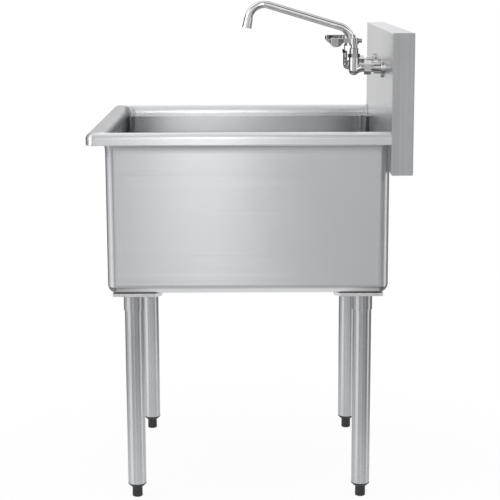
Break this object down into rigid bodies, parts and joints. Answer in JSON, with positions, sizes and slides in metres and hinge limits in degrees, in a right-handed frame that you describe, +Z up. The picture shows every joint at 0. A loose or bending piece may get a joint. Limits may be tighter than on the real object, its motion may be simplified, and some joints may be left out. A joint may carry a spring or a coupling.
{
  "type": "utility laundry sink",
  "caption": "Free-standing steel laundry sink with a deep square bowl, rolled rim, box splash, tube legs on levelling feet and a swing-spout lever tap.",
  "frame": {"origin": "on the floor, under the centre of the bounding box", "axes": "+X to the user's right, +Y back to the wall, +Z up"},
  "size_m": [0.686, 0.694, 1.1055],
  "materials": {
    "stainless_sheet": "brushed",
    "galvanised_steel": "galvanised satin",
    "leg_steel": "satin",
    "foot_plastic": "matte",
    "screw_steel": "black oxide",
    "strainer_steel": "polished",
    "seal_rubber": "matte",
    "friction_fibre": "matte",
    "nut_zinc": "cast zinc",
    "tap_chrome": "polished",
    "tap_brass": "machined",
    "aerator_plastic": "matte"
  },
  "bodies": {
    "sink": {"backsplash": "stainless_sheet", "bonnet_nuts": "tap_chrome", "coupling_nuts": "tap_chrome", "drain_gasket": "seal_rubber", "drain_locknut": "nut_zinc", "end_cap_left": "stainless_sheet", "end_cap_right": "stainless_sheet", "faucet_body": "tap_chrome", "foot_insert_front_left": "foot_plastic", "foot_insert_front_right": "foot_plastic", "foot_insert_rear_left": "foot_plastic", "foot_insert_rear_right": "foot_plastic", "friction_ring": "friction_fibre", "gusset_plate_front_left": "galvanised_steel", "gusset_plate_front_right": "galvanised_steel", "gusset_plate_rear_left": "galvanised_steel", "gusset_plate_rear_right": "galvanised_steel", "inlet_shank_left": "tap_chrome", "inlet_shank_right": "tap_chrome", "leg_set_screws": "screw_steel", "leg_socket_front_left": "galvanised_steel", "leg_socket_front_right": "galvanised_steel", "leg_socket_rear_left": "galvanised_steel", "leg_socket_rear_right": "galvanised_steel", "leg_tube_front_left": "leg_steel", "leg_tube_front_right": "leg_steel", "leg_tube_rear_left": "leg_steel", "leg_tube_rear_right": "leg_steel", "packing_nuts": "tap_chrome", "rim_front": "stainless_sheet", "rim_left": "stainless_sheet", "rim_right": "stainless_sheet", "shank_locknuts": "tap_brass", "sink_bowl": "stainless_sheet", "spout_nut": "tap_chrome", "spout_washer": "seal_rubber", "strainer_body": "strainer_steel", "strainer_seal": "seal_rubber", "wall_flanges": "tap_chrome"},
    "lever_left": {"lever_handle_left": "tap_chrome", "valve_stem_left": "tap_brass", "handle_set_screw_left": "screw_steel", "index_cap_left": "tap_chrome"},
    "lever_right": {"lever_handle_right": "tap_chrome", "valve_stem_right": "tap_brass", "handle_set_screw_right": "screw_steel", "index_cap_right": "tap_chrome"},
    "spout": {"swing_spout": "tap_chrome", "spout_outlet": "tap_chrome", "aerator_screen": "aerator_plastic"},
    "basket": {"strainer_basket": "strainer_steel", "basket_stopper": "seal_rubber"},
    "foot_front_left": {"bullet_foot_front_left": "foot_plastic"},
    "foot_front_right": {"bullet_foot_front_right": "foot_plastic"},
    "foot_rear_left": {"bullet_foot_rear_left": "foot_plastic"},
    "foot_rear_right": {"bullet_foot_rear_right": "foot_plastic"}
  },
  "joints": [
    {"name": "lever_left_turn", "type": "hinge", "parent": "sink", "child": "lever_left", "pos_m": [-0.1016, 0.2365, 1.017], "axis": [0, 0, -1], "range_deg": [0, 90]},
    {"name": "lever_right_turn", "type": "hinge", "parent": "sink", "child": "lever_right", "pos_m": [0.1016, 0.2365, 1.017], "axis": [0, 0, 1], "range_deg": [0, 90]},
    {"name": "spout_swing", "type": "hinge", "parent": "sink", "child": "spout", "pos_m": [0, 0.2365, 1], "axis": [0, 0, 1], "range_deg": [-100, 100]},
    {"name": "basket_lift", "type": "slide", "parent": "sink", "child": "basket", "axis": [0, 0, 1], "range_m": [0, 0.4]},
    {"name": "foot_front_left_level", "type": "slide", "parent": "sink", "child": "foot_front_left", "axis": [0, 0, -1], "range_m": [0, 0.025]},
    {"name": "foot_front_right_level", "type": "slide", "parent": "sink", "child": "foot_front_right", "axis": [0, 0, -1], "range_m": [0, 0.025]},
    {"name": "foot_rear_left_level", "type": "slide", "parent": "sink", "child": "foot_rear_left", "axis": [0, 0, -1], "range_m": [0, 0.025]},
    {"name": "foot_rear_right_level", "type": "slide", "parent": "sink", "child": "foot_rear_right", "axis": [0, 0, -1], "range_m": [0, 0.025]}
  ]
}
